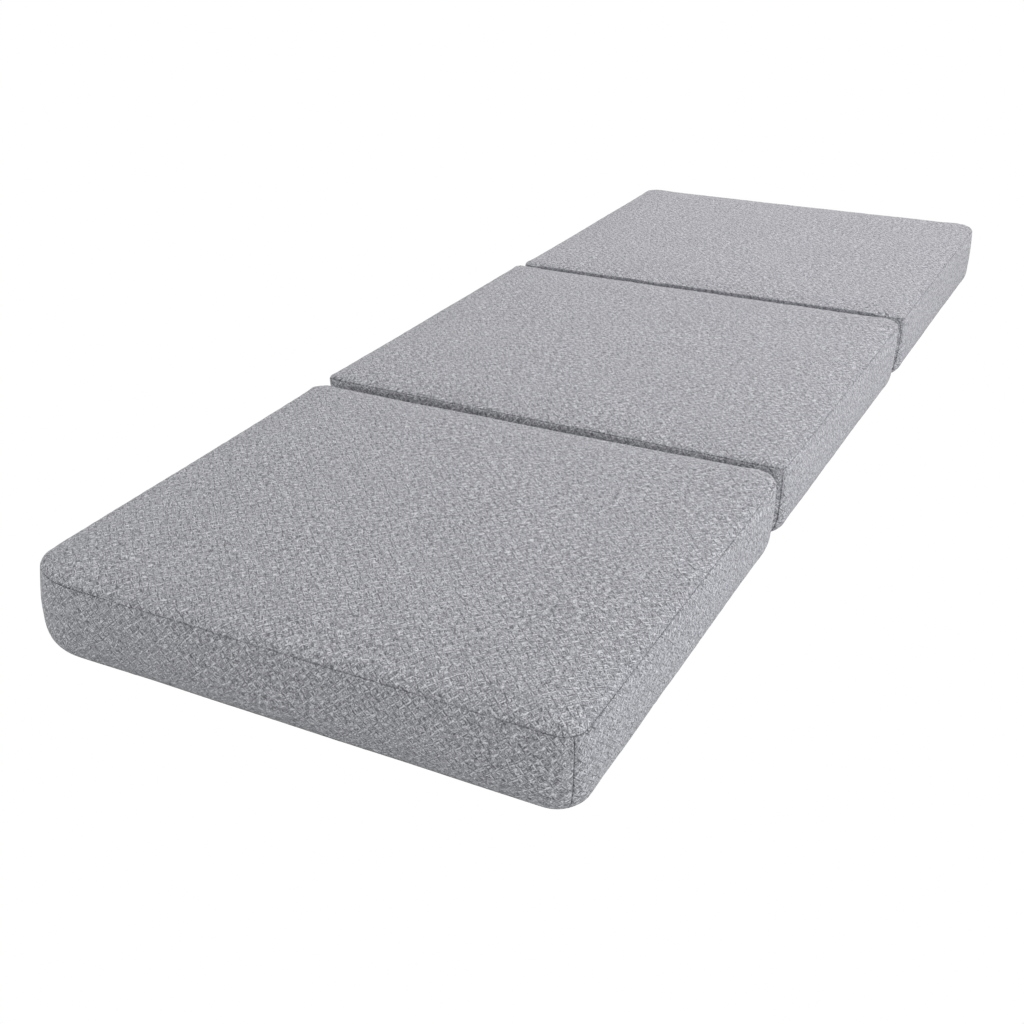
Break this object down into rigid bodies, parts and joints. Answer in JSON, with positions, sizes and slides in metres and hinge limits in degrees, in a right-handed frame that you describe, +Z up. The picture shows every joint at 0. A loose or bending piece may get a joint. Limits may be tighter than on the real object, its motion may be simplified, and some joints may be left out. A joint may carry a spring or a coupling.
{
  "type": "folding mattress",
  "caption": "Folding floor mattress of equal foam sections in a grey zipped fabric cover, joined by fabric hinges so that they fold up like a Z.",
  "frame": {"origin": "on the floor, under the middle of the mattress laid out flat", "axes": "+Y along the mattress towards the head end, +X across it towards the side without the zip, +Z up"},
  "size_m": [0.7039, 1.86, 0.12],
  "materials": {
    "cover_knit": "grey melange knitted jacquard",
    "non_slip_fabric": "dark woven fabric with non-slip dots",
    "liner_knit": "thin white fire-barrier knit",
    "comfort_foam": "soft open-cell foam",
    "support_foam": "firm open-cell foam",
    "hinge_fabric": "grey woven fabric",
    "zip_tape": "woven polyester tape",
    "zip_coil": "nylon monofilament",
    "zip_metal": "die-cast, grey lacquer"
  },
  "bodies": {
    "head_section": {"head_top_panel": "cover_knit", "head_near_band": "cover_knit", "head_far_band": "cover_knit", "head_right_band": "cover_knit", "head_zip_band_upper": "cover_knit", "head_zip_band_lower": "cover_knit", "head_bottom_panel": "non_slip_fabric", "head_inner_liner": "liner_knit", "head_comfort_foam": "comfort_foam", "head_support_foam": "support_foam", "head_zip_tape_upper": "zip_tape", "head_zip_tape_lower": "zip_tape", "head_zip_coil_upper": "zip_coil", "head_zip_coil_lower": "zip_coil", "head_hinge_strip": "hinge_fabric"},
    "middle_section": {"middle_top_panel": "cover_knit", "middle_near_band": "cover_knit", "middle_far_band": "cover_knit", "middle_right_band": "cover_knit", "middle_zip_band_upper": "cover_knit", "middle_zip_band_lower": "cover_knit", "middle_bottom_panel": "non_slip_fabric", "middle_inner_liner": "liner_knit", "middle_comfort_foam": "comfort_foam", "middle_support_foam": "support_foam", "middle_zip_tape_upper": "zip_tape", "middle_zip_tape_lower": "zip_tape", "middle_zip_coil_upper": "zip_coil", "middle_zip_coil_lower": "zip_coil", "foot_hinge_strip": "hinge_fabric"},
    "foot_section": {"foot_top_panel": "cover_knit", "foot_near_band": "cover_knit", "foot_far_band": "cover_knit", "foot_right_band": "cover_knit", "foot_zip_band_upper": "cover_knit", "foot_zip_band_lower": "cover_knit", "foot_bottom_panel": "non_slip_fabric", "foot_inner_liner": "liner_knit", "foot_comfort_foam": "comfort_foam", "foot_support_foam": "support_foam", "foot_zip_tape_upper": "zip_tape", "foot_zip_tape_lower": "zip_tape", "foot_zip_coil_upper": "zip_coil", "foot_zip_coil_lower": "zip_coil"},
    "head_slider": {"head_zip_slider": "zip_metal"},
    "head_pull": {"head_zip_pull": "zip_metal"},
    "middle_slider": {"middle_zip_slider": "zip_metal"},
    "middle_pull": {"middle_zip_pull": "zip_metal"},
    "foot_slider": {"foot_zip_slider": "zip_metal"},
    "foot_pull": {"foot_zip_pull": "zip_metal"}
  },
  "joints": [
    {"name": "head_fold", "type": "hinge", "parent": "head_section", "child": "middle_section", "pos_m": [0, 0.315, 0.1205], "axis": [-1, 0, 0], "range_deg": [0, 180], "deforming": ["head_hinge_strip"]},
    {"name": "foot_fold", "type": "hinge", "parent": "middle_section", "child": "foot_section", "pos_m": [0, -0.309, -0.0005], "axis": [1, 0, 0], "range_deg": [0, 180], "deforming": ["foot_hinge_strip"]},
    {"name": "head_zip", "type": "slide", "parent": "head_section", "child": "head_slider", "axis": [0, 1, 0], "range_m": [0, 0.463]},
    {"name": "head_pull_swing", "type": "hinge", "parent": "head_slider", "child": "head_pull", "pos_m": [-0.3521, 0.3925, 0.058], "axis": [0, 0, 1], "range_deg": [0, 180]},
    {"name": "middle_zip", "type": "slide", "parent": "middle_section", "child": "middle_slider", "axis": [0, 1, 0], "range_m": [0, 0.463]},
    {"name": "middle_pull_swing", "type": "hinge", "parent": "middle_slider", "child": "middle_pull", "pos_m": [-0.3521, -0.2255, 0.058], "axis": [0, 0, 1], "range_deg": [0, 180]},
    {"name": "foot_zip", "type": "slide", "parent": "foot_section", "child": "foot_slider", "axis": [0, 1, 0], "range_m": [0, 0.463]},
    {"name": "foot_pull_swing", "type": "hinge", "parent": "foot_slider", "child": "foot_pull", "pos_m": [-0.3521, -0.8555, 0.058], "axis": [0, 0, 1], "range_deg": [0, 180]}
  ]
}
